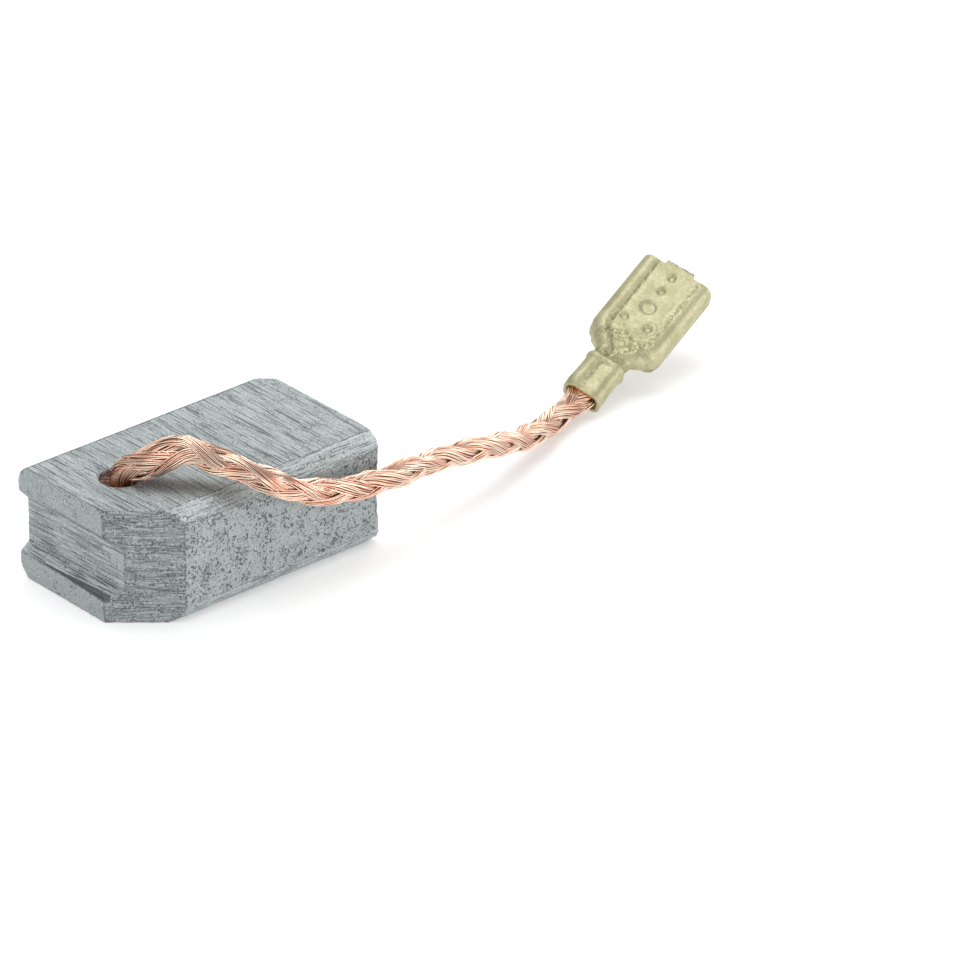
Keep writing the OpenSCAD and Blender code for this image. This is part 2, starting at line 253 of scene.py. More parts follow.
# %% Ribbon under a bundle
def ribbon(way, bundle, first):
    """A band of dark copper under a bundle's wires: painted shade that shows in the gaps between them."""
    shares = np.linspace(-0.95, 0.95, 5)
    lines = [wire_line(way, bundle, share, 900 + way * 10 + bundle) for share in shares]
    rows = [place_round_line(angle, radius - 0.05) for angle, radius in lines]
    return np.stack(rows, axis=1).reshape(-1, 3), strip_quads(len(line), len(shares), False, first)


print("a ribbon has", len(ribbon(1, 0, 0)[1]), "faces")

# %% [markdown]
# ## Shunt: slack and broken wires
# A handled shunt is never perfect. One bundle has slipped and hangs a little under the bend, and a few
# broken ends stand out of the powder at the foot. Combing a hair system would give the same look, but
# it is hard to steer over four millimetres, so these wires are thin tubes too, placed by a rule and a
# seeded chance.

# %% Slack and broken wires
SLACK_FROM, SLACK_TO, SAG_AT, SAG_REACH = 3.3, 8, 4.9, 0.9
SLACK_ROW = 7
slack = (along > SLACK_FROM) & (along < SLACK_TO)
sag = np.exp(-((along[slack] - SAG_AT) / SAG_REACH) ** 2)[:, None]


def square_to_shunt(way):
    """A direction, leaned at each slack station until it is square to the shunt."""
    square = np.array(way) - (tangent[slack] @ way)[:, None] * tangent[slack]
    return square / np.linalg.norm(square, axis=1)[:, None]


def slack_wire(wire):
    """One wire of the slipped bundle. The first seven lie side by side, the rest inside them."""
    down, across = square_to_shunt((-0.2, -0.5, -0.85)), square_to_shunt((0.75, 0.2, -0.3))
    shift = -0.26 + 0.52 * (wire % SLACK_ROW) / 6 + drift(0.9, wire + 900, 0.12)[slack][:, None]
    depth = 0.52 * swell[slack][:, None] + 0.13 * sag - (0.07 if wire >= SLACK_ROW else 0)
    depth = depth + drift(0.7, wire + 950, 0.08)[slack][:, None]
    return line[slack] + lift[slack] + down * depth * (0.5 + 0.5 * np.sqrt(sag)) + across * shift


def broken_end(chance):
    """A short wire end that stands out of the powder beside the foot."""
    turn, away = chance.uniform(-2.4, 0.6), chance.uniform(0.45, 0.8)
    start = np.array((-4.7 + away * math.cos(turn), 0.2 + away * math.sin(turn), 5.62))
    lean = np.array((chance.uniform(-0.5, 0.5), chance.uniform(-0.5, 0.5), chance.uniform(0.3, 1.0)))
    t = np.linspace(0, 1, 7)[:, None]
    return start + (t * lean + t**2 * np.array((lean[1], -lean[0], -0.3))) * chance.uniform(0.2, 0.38)


print("a slack wire has", int(slack.sum()), "stations")

# %% [markdown]
# ## Helpers for meshes
# Each piece is a list of points and faces in millimetres. One helper turns them into an object in
# metres, one hangs it on the model's only body, and one writes a number on
# each point for the piece's material to read.


# %% Mesh helpers
def make_piece(name, points, faces):
    mesh = bpy.data.meshes.new(name)
    mesh.from_pydata([Vector(p) * MM for p in points], [], faces)
    mesh.polygons.foreach_set("use_smooth", [True] * len(mesh.polygons))
    mesh.update()
    piece = bpy.data.objects.new(name, mesh)
    bpy.context.collection.objects.link(piece)
    print(name, "has", len(mesh.polygons), "faces")
    return hang(piece)


def hang(piece):
    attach(piece, "root")
    return piece


def mark_points(mesh, name, values):
    mesh.attributes.new(name, "FLOAT", "POINT").data.foreach_set("value", values)


# %% Build the shunt
SLACK_WIRES, BROKEN_ENDS = 14, 16
CORE_R = 0.34
# DARK is the dark copper of the core and of the bands under the bundles: painted shade in the gaps
BRIGHT, DARK = 0, 1


def build_shunt():
    chance = random.Random(12)
    points, faces, kinds, tints = [], [], [], []

    def add(made, kind, tint):
        points.append(made[0])
        faces.append(made[1])
        kinds.extend([kind] * len(made[1]))
        tints.extend([tint] * len(made[0]))

    seed = 0
    for way in (1, -1):
        for bundle in range(BUNDLES):
            add(ribbon(way, bundle, len(tints)), DARK, 0)
            for wire in range(WIRES):
                seed += 1
                share = -1 + 2 * (wire + 0.5) / WIRES
                centre = place_round_line(*wire_line(way, bundle, share, seed))
                add(tube_round(centre, WIRE_R, 4, len(tints)), BRIGHT, chance.random())
    for wire in range(SLACK_WIRES):
        add(tube_round(slack_wire(wire), WIRE_R, 4, len(tints)), BRIGHT, chance.random())
    for wire in range(BROKEN_ENDS):
        add(tube_round(broken_end(chance), WIRE_R * 0.8, 4, len(tints)), BRIGHT, 1)
    core = place_round_line(np.zeros(len(line)), np.zeros(len(line)))
    add(tube_round(core, CORE_R, 10, len(tints)), DARK, 0)
    shunt = make_piece("plaited_shunt", np.vstack(points), np.vstack(faces).tolist())
    shunt.data.polygons.foreach_set("material_index", kinds)
    mark_points(shunt.data, "tint", tints)
    return shunt


shunt = build_shunt()
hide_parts("shunt_braid")

# %% [markdown]
# ## Helpers for finishes
# A finish is a Principled shader fed by a few procedural textures. Writing node trees out one socket at
# a time is long, so a small class adds a node, fills its inputs and returns its first output.


# %% Finish helpers
class Finish:
    def __init__(self, name, **fixed):
        self.material = bpy.data.materials.new(name)
        self.material.use_nodes = True
        self.tree = self.material.node_tree
        self.shader = self.tree.nodes["Principled BSDF"]
        for socket, value in fixed.items():
            self.feed(socket.replace("_", " "), value)
        self.place = self.tree.nodes.new("ShaderNodeTexCoord").outputs["Object"]

    def put(self, socket, source):
        """Set a socket to a constant, or link it to another node's output."""
        if isinstance(source, bpy.types.NodeSocket):
            self.tree.links.new(source, socket)
        else:
            socket.default_value = source

    def feed(self, socket, source):
        self.put(self.shader.inputs[socket], source)

    def node(self, kind, settings=(), output=0, **inputs):
        """Add a node. Inputs are given by name, or as i0, i1, ... by their number."""
        made = self.tree.nodes.new("ShaderNode" + kind)
        for key, value in dict(settings).items():
            setattr(made, key, value)
        for key, value in inputs.items():
            self.put(made.inputs[int(key[1:]) if key[1:].isdigit() else key.replace("_", " ")], value)
        return made.outputs[output]

    def noise(self, x, y, z, detail=3, rough=0.6):
        """Noise in object coordinates, with x, y and z lumps in a millimetre of each axis."""
        where = self.node("Mapping", Vector=self.place, Scale=(x / MM, y / MM, z / MM))
        return self.node("TexNoise", Vector=where, Scale=1, Detail=detail, Roughness=rough)

    def attribute(self, name):
        return self.node("Attribute", dict(attribute_name=name), output=2)

    def ramp(self, value, low, high, to_low=0, to_high=1):
        return self.node("MapRange", dict(interpolation_type="SMOOTHSTEP"), Value=value, From_Min=low,
                         From_Max=high, To_Min=to_low, To_Max=to_high)

    def math(self, kind, a, b):
        return self.node("Math", dict(operation=kind), i0=a, i1=b)

    def blend(self, share, a, b):
        """Colour a, going over to colour b as share goes from 0 to 1."""
        return self.node("Mix", dict(data_type="RGBA"), output=2, i0=share, i6=a, i7=b)

    def bump(self, height, depth_mm):
        self.feed("Normal", self.node("Bump", Strength=1.0, Distance=depth_mm * MM, Height=height))


def paint(piece, *finishes):
    """Give a piece its finishes, one for each material index."""
    for slot, finish in enumerate(finishes):
        if slot < len(piece.data.materials):
            piece.data.materials[slot] = finish.material
        else:
            piece.data.materials.append(finish.material)
    print(piece.name, "is painted with", ", ".join(finish.material.name for finish in finishes))


# %% [markdown]
# ## Copper
# Bare copper wire that has been handled is pinkish and only half bright. Each wire has its own tint, and
# the colour drifts a little from one stretch to the next. The core and the bands under the bundles,
# which show only between the wires, are a dark brown copper: painted shade, so that the gaps look deep.

# %% Copper finishes
DULL_COPPER, PINK_COPPER = (0.82, 0.455, 0.325, 1), (0.915, 0.645, 0.51, 1)
PALE_COPPER = (0.965, 0.82, 0.675, 1)
DARK_GAP_SHADE, RED_GAP_SHADE = (0.20, 0.075, 0.04, 1), (0.56, 0.24, 0.13, 1)

copper = Finish("copper_wire", Metallic=1.0, Roughness=0.27)
patches = copper.math("MULTIPLY", copper.noise(0.9, 0.9, 0.9), 0.9)
mixed = copper.math("ADD", copper.math("MULTIPLY", copper.attribute("tint"), 0.4), patches)
colour = copper.blend(copper.ramp(mixed, 0.35, 0.65), DULL_COPPER, PINK_COPPER)
copper.feed("Base Color", copper.blend(copper.ramp(mixed, 0.62, 0.85), colour, PALE_COPPER))
# Dark brown copper for the core and the bands: painted shade that makes the gaps look deep
copper_gap_shade = Finish("copper_gap_shade", Metallic=1.0, Roughness=0.5)
strands = copper_gap_shade.noise(9, 9, 9, 2)
copper_gap_shade.feed("Base Color", copper_gap_shade.blend(strands, DARK_GAP_SHADE, RED_GAP_SHADE))
paint(shunt, copper, copper_gap_shade)

# %% [markdown]
# ## Carbon block
# The block is pressed from graphite powder and then ground. Its edges are crisp but crumble here and
# there, which a plain CAD solid can't show. A voxel remesh would round every edge off, so the CAD mesh
# is sliced by planes a tenth of a millimetre apart instead: each face stays flat and each edge sharp,
# and there are now points to move.

# %% Slice the CAD mesh into a fine grid
CELL = 0.1
FLAT_WITHIN = math.radians(0.8)


def sliced_copy(node, cell):
    """A copy of a CAD node in millimetres, cut by planes along all three axes."""
    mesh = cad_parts[node].data.copy()
    mesh.transform(Matrix.Scale(1 / MM, 4))
    grid = bmesh.new()
    grid.from_mesh(mesh)
    bmesh.ops.remove_doubles(grid, verts=grid.verts, dist=1e-5)
    bmesh.ops.dissolve_limit(grid, angle_limit=FLAT_WITHIN, verts=grid.verts, edges=grid.edges)
    low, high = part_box(node)
    for axis in range(3):
        way = Vector([float(axis == k) for k in range(3)])
        for mark in np.arange(low[axis] / MM + cell * 0.6, high[axis] / MM - cell * 0.2, cell):
            bmesh.ops.bisect_plane(grid, geom=grid.verts[:] + grid.edges[:] + grid.faces[:], dist=1e-4,
                                   plane_co=way * float(mark), plane_no=way)
    return grid


grid = sliced_copy("carbon_block", CELL)
print("block:", len(grid.faces), "faces")

# %% Which tool made each face
FACES = ["ground", "side", "bevel", "corner", "groove", "lip", "contact"]
CREASE = math.radians(12)


def face_kind(n, c):
    """The kind of a face, from the way it looks (n) and where its middle is (c)."""
    if n.x > 0.7 and c.x > 6:
        return "contact"
    if n.x < -0.4 and n.y < -0.4:
        return "corner"
    if n.x < -0.98 and c.x < -7.4:
        return "lip"
    if n.x < -0.1 and c.x < -6.5:
        return "groove"
    if abs(c.y) > 3.86 and (c.z < 0.84 or c.z > 5.16):
        return "bevel"
    return "ground" if abs(n.z) > 0.9 else "side"


grid.normal_update()
for face in grid.faces:
    face.smooth = True
    face.material_index = FACES.index(face_kind(face.normal, face.calc_center_median()))
for e in grid.edges:
    e.smooth = e.calc_face_angle(0) < CREASE
print("sharp edges:", sum(not e.smooth for e in grid.edges))

# %% [markdown]
# ## Carbon block: wear
# Pressed carbon is brittle. Its edges lose small chips, the contact face's corners are rubbed round and
# each tool leaves its own faint relief. A sculpted copy would look as good but could not be changed
# later, so each kind of wear is a short rule that says how deep it goes at a place.


# %% How deep the wear goes
def chip_depth(p):
    """How far an edge has crumbled at p: mostly little, with small bites."""
    bites = noise.noise(p * 1.9) + 0.7 * noise.noise(p * 5.3 + Vector((3, 1, 7)))
    return 0.014 + 0.045 * abs(noise.noise(p * 6.1)) + 0.12 * max(0, bites - 0.32)


def face_depth(p, kind):
    """Relief of a face: soft unevenness, a few pits and the marks of the tool that made it."""
    depth = 0.008 * noise.noise(p * 3.7) + 0.007 * noise.noise(p * 8.3)
    depth += 0.05 * max(0, noise.noise(p * 4.7 + Vector((7, 3, 1))) - 0.5)
    if kind == "groove":
        depth += 0.016 * noise.noise(Vector((p.x * 2, p.y * 0.35, p.z * 6)))
    elif kind == "ground":
        depth += 0.006 * noise.noise(Vector((p.x * 6, p.y * 0.3, 2)))
    elif kind == "contact":
        depth += 0.012 * noise.noise(Vector((1, p.y * 6, p.z * 0.4)))
    return depth


# The contact face's corners: y, z and how deep each is rubbed
RUBBED = ((3.9, 5.9, 0.22), (-3.9, 5.9, 0.07), (3.9, 0.1, 0.1), (-3.9, 0.1, 0.08))


def corner_wear(p):
    """The way each point moves where the contact face's four corners are rubbed down."""
    worn = Vector()
    for y, z, depth in RUBBED:
        share = depth * math.exp(-((p - Vector((7.45, y, z))).length / 0.42) ** 2)
        worn += share * Vector((-0.6, -0.5 * y / 3.9, 3 - z)).normalized()
    return worn


def skew(p):
    """The groove was ground a little out of square."""
    share = min(1, max(0, (p.x + 7.5) / 0.7)) if p.x < -6.7 and 1.35 < p.z < 4.55 else 0
    return Vector((share * 0.04 * (p.y - 0.3), 0, 0))


print("one corner is rubbed by", round(corner_wear(Vector((7.45, 3.9, 5.9))).length, 2), "mm")

# %% Where painted shade and shadow sit
LIP_X, LIP_Z = -7.46, 1.34
SHUNT_SHADOW_FROM, SHUNT_SHADOW_RUN = Vector((-4.0, -1.3, 6)), Vector((2.5, -3.0, -0.45))


def lip_step_shade(p):
    """Painted shade in the step along the lower lip: 1 on the lip's edge, 0.5 at the shade's border."""
    width = 0.26 * min(1, max(0, (3.1 - p.y) / 4.6))
    away = math.hypot(p.x - LIP_X, p.z - LIP_Z)
    return max(0, 1 - 0.5 * away / width) if width > 0.02 and p.x < -6.9 and p.z < 1.9 else 0


def shunt_shadow(p):
    """Painted shadow of the shunt's bend on the block's top, tinted brown as a painted reflection of its
    copper.
    """
    share = min(1, max(0, (p - SHUNT_SHADOW_FROM).dot(SHUNT_SHADOW_RUN) / SHUNT_SHADOW_RUN.length_squared))
    near = math.exp(-((p - SHUNT_SHADOW_FROM - SHUNT_SHADOW_RUN * share).length / 0.85) ** 2)
    return near * (1.35 - 0.6 * share) if p.z > 5.1 else 0


lip_step_shades = [lip_step_shade(v.co) for v in grid.verts]
shunt_shadows = [shunt_shadow(v.co) for v in grid.verts]
print(sum(s > 0.5 for s in lip_step_shades), "shaded points,", sum(s > 0.5 for s in shunt_shadows), "shadowed")

# %% Wear the edges and roughen the faces
kinds = {v: {FACES[f.material_index] for f in v.link_faces} for v in grid.verts}
depths = {v: chip_depth(v.co) for v in grid.verts if any(not e.smooth for e in v.link_edges)}
borders = [float(v in depths or len(kinds[v]) > 1) for v in grid.verts]
inner = {}
for v in grid.verts:
    if v not in depths:
        beside = [depths[n] for n in (e.other_vert(v) for e in v.link_edges) if n in depths]
        inner[v] = face_depth(v.co, min(kinds[v])) + (0.35 * (max(beside) - 0.03) if beside else 0)
depths.update(inner)
places = [v.co - v.normal * depths[v] + corner_wear(v.co) - skew(v.co) for v in grid.verts]
for v, place in zip(grid.verts, places):
    v.co = Vector((place.x, place.y, max(0, place.z))) * MM
print("deepest chip:", round(max(depths.values()), 2), "mm")

# %% Make the block's skin
mesh = bpy.data.meshes.new("carbon_block_skin")
grid.to_mesh(mesh)
grid.free()
for name, values in (("border", borders), ("lip_step_shade", lip_step_shades), ("shunt_shadow", shunt_shadows)):
    mark_points(mesh, name, values)
block = bpy.data.objects.new("carbon_block_skin", mesh)
bpy.context.collection.objects.link(block)
hang(block)
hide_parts("carbon_block")
print("block skin:", len(mesh.vertices), "points")

# %% [markdown]
# ## Carbon
# Every face of the block is the same carbon, but each was made by another tool: the top was ground
# across the block, the long bevels were milled lengthways, the groove was cut with a coarse wheel and
# the sides still show the press. Seven separate materials could be built by hand, but one function with
# a table keeps them one family: how strong the lines are, which way they run, how porous the face is.
# The tone of each face is partly its own grey and partly painted light and shade, lighter or darker as
# the light falls on it.

# %% Carbon's colours and marks
CARBON_HUE = (0.89, 0.985, 1.0)
SHADES = (0.40, 0.56, 0.74)
PORE, GLINT = (0.075, 0.09, 0.095, 1), (0.80, 0.84, 0.85, 1)
# Colours of the painted shade in the lip's step and of the painted shadow under the shunt
STEP_SHADE_GREY, SHUNT_SHADOW_BROWN = (0.06, 0.07, 0.072, 1), (0.09, 0.072, 0.064, 1)


def dark_marks(f, marks, lines, streaks, dashes):
    """Soft dark streaks along the tool's way, and shorter, sharper dashes."""
    soft = f.ramp(marks, 0.50, 0.64, 0, 0.45 * streaks)
    dash = f.noise(*[1.3 * c for c in lines], 1, 0.5)
    sharp = f.ramp(dash, 0.70 - 0.1 * dashes, 0.73 - 0.1 * dashes, 0, 0.8 * min(1, 2 * dashes))
    return f.math("MAXIMUM", soft, sharp)


def add_painted_shade(f, base, fine, pore):
    """Painted shade in the step by the lip, ragged where the pores are, and the painted shadow under the
    shunt, over the carbon's own colour.
    """
    # Painted shade in the step by the lower lip
    step_shade_share = f.math("ADD", f.attribute("lip_step_shade"), f.math("MULTIPLY", pore, 0.5))
    base = f.blend(f.math("MULTIPLY", f.ramp(step_shade_share, 0.84, 0.95), 0.8), base, STEP_SHADE_GREY)
    # Painted shadow of the shunt, brown as a painted reflection of its copper
    shunt_shadow_share = f.math("MULTIPLY", f.attribute("shunt_shadow"), f.ramp(fine, 0.25, 0.7, 0.95, 0.5))
    return f.blend(shunt_shadow_share, base, SHUNT_SHADOW_BROWN)


print("carbon is", [round(SHADES[1] * c, 2) for c in CARBON_HUE], "between its light and dark marks")


# %% Carbon finish
def carbon_finish(name, tone, pits, lines, streaks, dashes, grain=1.0, glints=0.5):
    """pits, streaks and dashes are amounts; lines holds how much the marks are stretched on each axis."""
    f = Finish("carbon_" + name, Roughness=0.7, Specular_IOR_Level=0.4)
    # Each face's tone is partly its own grey and partly painted light and shade
    dark_grey, grey, pale_grey = [tuple(tone * shade * c for c in CARBON_HUE) + (1,) for shade in SHADES]
    fine, cloud = f.noise(12, 12, 12, 2, 0.75), f.noise(1.1, 1.1, 1.1)
    base = f.blend(f.ramp(fine, 0.5 - 0.2 / grain, 0.5 + 0.2 / grain), dark_grey, grey)
    base = f.blend(f.ramp(cloud, 0.35, 0.7, 0, 0.25), base, dark_grey)
    marks = f.noise(*lines, 1, 0.5)
    base = f.blend(f.ramp(marks, 0.50, 0.36, 0, 0.5 * streaks), base, pale_grey)
    # Whatever is darkest at a place, a mark, a pore or a speck, sets how dark the place is
    dark = dark_marks(f, marks, lines, streaks, dashes)
    pore = f.math("MULTIPLY_ADD", cloud, 0.35)
    f.put(pore.node.inputs[2], f.noise(9, 9, 9, 2, 0.8))
    dark = f.math("MAXIMUM", dark, f.ramp(pore, 0.86 - 0.10 * pits, 0.91 - 0.10 * pits, 0, 0.9))
    speck = f.math("ADD", f.noise(16, 16, 16, 1, 0.5), f.math("MULTIPLY", f.attribute("border"), 0.20))
    dark = f.math("MAXIMUM", dark, f.ramp(speck, 0.71 - 0.03 * pits, 0.75 - 0.03 * pits, 0, 0.8))
    base = f.blend(dark, base, PORE)
    glint = f.ramp(f.noise(11, 11, 11, 1, 0.4), 0.72 - 0.06 * glints, 0.76 - 0.06 * glints)
    base = f.blend(f.math("MULTIPLY", glint, 0.4 + 0.4 * glints), base, GLINT)
    f.feed("Base Color", add_painted_shade(f, base, fine, pore))
    f.bump(f.math("SUBTRACT", f.math("MULTIPLY", fine, 0.35), dark), 0.03)
    return f


# For each kind of face: tone (partly painted light and shade), pits, stretch of the lines, streaks,
# dashes, grain, glints
CARBON = {
    "ground": (1.015, 0.85, (15, 0.4, 3), 0.5, 1.25, 2.9),
    "side": (0.97, 1.3, (5, 5, 5), 0.0, 0.0, 2.0),
    "bevel": (1.12, 0.7, (0.6, 14, 14), 0.5, 0.7, 2.4, 0.9),
    "corner": (0.79, 1.15, (0.8, 0.8, 17), 0.9, 0.85, 2.8),
    "groove": (1.0, 0.6, (2, 0.35, 15), 0.7, 1.15, 2.2),
    "lip": (0.92, 0.75, (5, 5, 5), 0.0, 0.0, 2.2),
    "contact": (0.95, 0.3, (3, 11, 0.3), 0.7, 0.4)}
paint(block, *[carbon_finish(kind, *CARBON[kind]) for kind in FACES])

# %% [markdown]
# ## Copper powder in the hole
# The shunt's foot stands in copper powder that was tamped hard into the hole. What shows is a small,
# lumpy, dark red-brown surface with loose grains on it. A Displace modifier on a disc would do, but a
# rule that lifts each point is as short and needs no texture. The grains are small, squashed balls.

# %% Tamped powder
HOLE_X, HOLE_Y = -4.65, 0.25
POWDER_R, POWDER_TOP, POWDER_FOOT = 1.02, 5.68, 2.02
RINGS, SPOKES = 22, 84


def powder_point(away, turn):
    """A point of the lumpy surface, at a distance from the hole's middle."""
    x, y = HOLE_X + away * math.cos(turn), HOLE_Y + away * math.sin(turn)
    lump = noise.noise(Vector((x, y, 0)) * 5) * 0.07 + noise.noise(Vector((x, y, 3)) * 13) * 0.05
    return x, y, POWDER_TOP + lump


def band(low, high):
    """Faces between two rings of points, given the first point of each."""
    return [(low + k, high + k, high + (k + 1) % SPOKES, low + (k + 1) % SPOKES) for k in range(SPOKES)]


def build_powder():
    points = [(HOLE_X, HOLE_Y, POWDER_TOP)]
    for ring in range(1, RINGS + 1):
        for k in range(SPOKES):
            x, y, z = powder_point(POWDER_R * ring / RINGS, 2 * math.pi * k / SPOKES)
            points.append((x, y, z + 0.20 * (ring / RINGS) ** 4))
    faces = [(0, 1 + k, 1 + (k + 1) % SPOKES) for k in range(SPOKES)]
    for ring in range(RINGS - 1):
        faces += band(1 + ring * SPOKES, 1 + (ring + 1) * SPOKES)
    rim = 1 + (RINGS - 1) * SPOKES
    foot = len(points)
    points += [(x, y, POWDER_FOOT) for x, y, z in points[rim:]]
    faces += band(rim, foot)
    faces.append(tuple(foot + k for k in reversed(range(SPOKES))))
    return points, faces


powder_points, powder_faces = build_powder()
print("powder:", len(powder_faces), "faces")

# %% Loose grains
GRAINS = 240
GRAIN_Z = 5.69


def add_grains(points, faces, count, seed=4):
    """Small lumpy grains, lying on the powder."""
    chance = random.Random(seed)
    ball = bmesh.new()
    bmesh.ops.create_icosphere(ball, subdivisions=2, radius=1)
    shape = [v.co.copy() for v in ball.verts]
    sides = [[v.index for v in f.verts] for f in ball.faces]
    ball.free()
    for _ in range(count):
        turn, away = chance.uniform(0, 2 * math.pi), 0.97 * math.sqrt(chance.uniform(0.05, 1))
        centre = Vector((HOLE_X + away * math.cos(turn), HOLE_Y + away * math.sin(turn),
                         GRAIN_Z + chance.uniform(-0.02, 0.05)))
        size = chance.uniform(0.03, 0.075)
        first = len(points)
        for v in shape:
            bumpy = 1 + 0.35 * noise.noise(v * 1.7 + centre * 9)
            points.append(tuple(centre + Vector((v.x, v.y, v.z * 0.8)) * size * bumpy))
        faces += [tuple(first + i for i in f) for f in sides]


add_grains(powder_points, powder_faces, GRAINS)
powder = make_piece("tamped_powder", powder_points, powder_faces)
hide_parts("tamping_plug")

# %% Powder finish
DARK_POWDER, RED_POWDER = (0.06, 0.03, 0.028, 1), (0.68, 0.33, 0.19, 1)
grit = Finish("copper_powder", Roughness=0.6, Metallic=0.45)
specks = grit.noise(6, 6, 6, 4, 0.75)
grit.feed("Base Color", grit.blend(grit.ramp(specks, 0.50, 0.66), DARK_POWDER, RED_POWDER))
grit.bump(specks, 0.03)
paint(powder, grit)

# %% [markdown]
# ## Receptacle
# The receptacle is one strip of brass, stamped flat and then rolled up. It could be cut from solids, but
# bent sheet is easier to get right as what it is: a section across the strip, drawn as a line of points,
# that changes smoothly along the piece. A Solidify modifier then gives it the sheet's thickness.

# %% Stations along the strip
SHEET = 0.3
TERMINAL_LEN, BODY_LEN, CRIMP_LEN = 9.05, 5.15, 2.2
# Distance from the crimp's open end, then the section there: half width, corner radius, top of the
# side, radius and angle of the roll, drop of the floor, hollow of the floor
STATIONS = np.array([
    (0.00, 0.98, 0.46, 0.84, 0.39, 180, 0.13, 0.02),
    (0.40, 0.91, 0.37, 0.79, 0.35, 180, 0.02, 0.08),
    (1.20, 0.87, 0.36, 0.77, 0.34, 180, 0.00, 0.10),
    (1.95, 0.87, 0.36, 0.76, 0.34, 180, 0.01, 0.06),
    (2.20, 0.95, 0.40, 0.78, 0.34, 180, -0.06, 0.00),
    (2.50, 0.76, 0.36, 0.80, 0.34, 175, 0.15, 0.02),
    (3.00, 0.88, 0.42, 0.76, 0.42, 168, 0.16, 0.03),
    (3.50, 1.45, 0.62, 0.80, 0.55, 158, 0.06, 0.06),
    (3.90, 1.80, 0.60, 0.92, 0.66, 152, -0.02, 0.06),
    (4.35, 1.875, 0.44, 1.00, 0.70, 152, -0.01, 0.02),
    (9.05, 1.875, 0.40, 1.00, 0.70, 152, 0.00, 0.00)])


def station(x):
    """The section at x, eased from one row of STATIONS to the next."""
    k = min(len(STATIONS) - 2, max(0, int(np.searchsorted(STATIONS[:, 0], x)) - 1))
    a, b = STATIONS[k], STATIONS[k + 1]
    return a[1:] + (b[1:] - a[1:]) * ease((x - a[0]) / (b[0] - a[0]))


print("half widths:", [float(round(station(x)[0], 2)) for x in (0, 2.5, 5)], "mm")

# %% Section of the strip
FLOOR_N, CORNER_N, SIDE_N, ROLL_N = 26, 9, 5, 16
ROLL_END = 0.08


def half_section(half_w, corner_r, side_top, roll_r, turn):
    """Right half of a section: across the floor, round the corner, up the side and over."""
    pts = [((half_w - corner_r) * i / FLOOR_N, 0.0) for i in range(FLOOR_N + 1)]
    for i in range(1, CORNER_N + 1):
        a = math.pi / 2 * i / CORNER_N
        pts.append((half_w - corner_r + corner_r * math.sin(a), corner_r - corner_r * math.cos(a)))
    pts += [(half_w, corner_r + (side_top - corner_r) * i / SIDE_N) for i in range(1, SIDE_N + 1)]
    for i in range(1, ROLL_N + 1):
        a = math.radians(turn) * i / ROLL_N
        pts.append((half_w - roll_r + roll_r * math.cos(a), side_top + roll_r * math.sin(a)))
    a = math.radians(turn)
    pts.append((pts[-1][0] - ROLL_END * math.sin(a), pts[-1][1] + ROLL_END * math.cos(a)))
    return pts


HALF_N = len(half_section(*station(TERMINAL_LEN)[:5]))
SIDE_END = FLOOR_N + CORNER_N + SIDE_N
print("a half section has", HALF_N, "points")


# %% Shape of the floor
def bell(x, width):
    return math.exp(-(x / width) ** 2)


def floor_shape(x, y, edge, hollow):
    """How far the floor stands in from a plane: the hollow, the ridge along each edge, small dents."""
    share = abs(y) / edge
    ridge = 0.035 * bell(abs(y) - edge + 0.42, 0.13) - 0.05 * bell(abs(y) - edge, 0.2)
    ridge *= 0.35 if y > 0 else 1
    if x < CRIMP_LEN + 0.3:
        ridge *= 0.35
    dents = 0.010 * noise.noise(Vector((x * 0.9, y * 1.1, 4)))
    dents += 0.005 * noise.noise(Vector((x * 2.6, y * 2.6, 8)))
    if x < CRIMP_LEN:
        dents += 0.030 * noise.noise(Vector((x * 0.8, y * 2.3, 1)))
    return hollow * max(0, 1 - share**2) + ridge + dents


# Place along and across, and radius, of each dimple
DIMPLES = [(TERMINAL_LEN - 2.85, 0, 0.52)]
DIMPLES += [(TERMINAL_LEN - 0.6, 0, 0.3), (TERMINAL_LEN - 1.6, 0, 0.3)]
DIMPLES += [(TERMINAL_LEN - 4, side * 0.7, 0.3) for side in (-1, 1)]


def dimple_rise(x, y):
    """How far the dimples stand in, each with a faint ring round it."""
    rise = 0
    for cx, cy, r in DIMPLES:
        d = math.hypot(x - cx, y - cy) / r
        rise = max(rise, 0.13 * ease((1.05 - d) / 0.4)) - 0.045 * bell(d - 1.2, 0.2)
    return rise


print(len(DIMPLES), "dimples, the big one", round(float(dimple_rise(*DIMPLES[0][:2])), 2), "mm deep")


# %% Points of the strip
def grime_and_crease_shade(x, y, edge, fade, on_floor):
    """Grime and painted shade in the floor's grooves, at the shoulders, in the neck and along the crimp's
    fold.
    """
    groove = 0
    if on_floor and x > CRIMP_LEN:
        near = ease((5.4 - x) / 1.2)
        groove = (0.9 + 0.3 * near) * bell(y + edge - 0.34, 0.09) + 0.8 * bell(y - edge + 0.14, 0.13)
        groove += 0.75 * near * bell(x - 4.15 + 0.25 * abs(y), 0.16) + 0.25 * near
    elif on_floor:
        groove = 0.6 * bell(y + 0.12, 0.16)
    return min(1, 0.9 * bell(x - 2.6, 0.22) * fade + groove + 0.4 * bell(x - 3.6, 0.25) * fade)


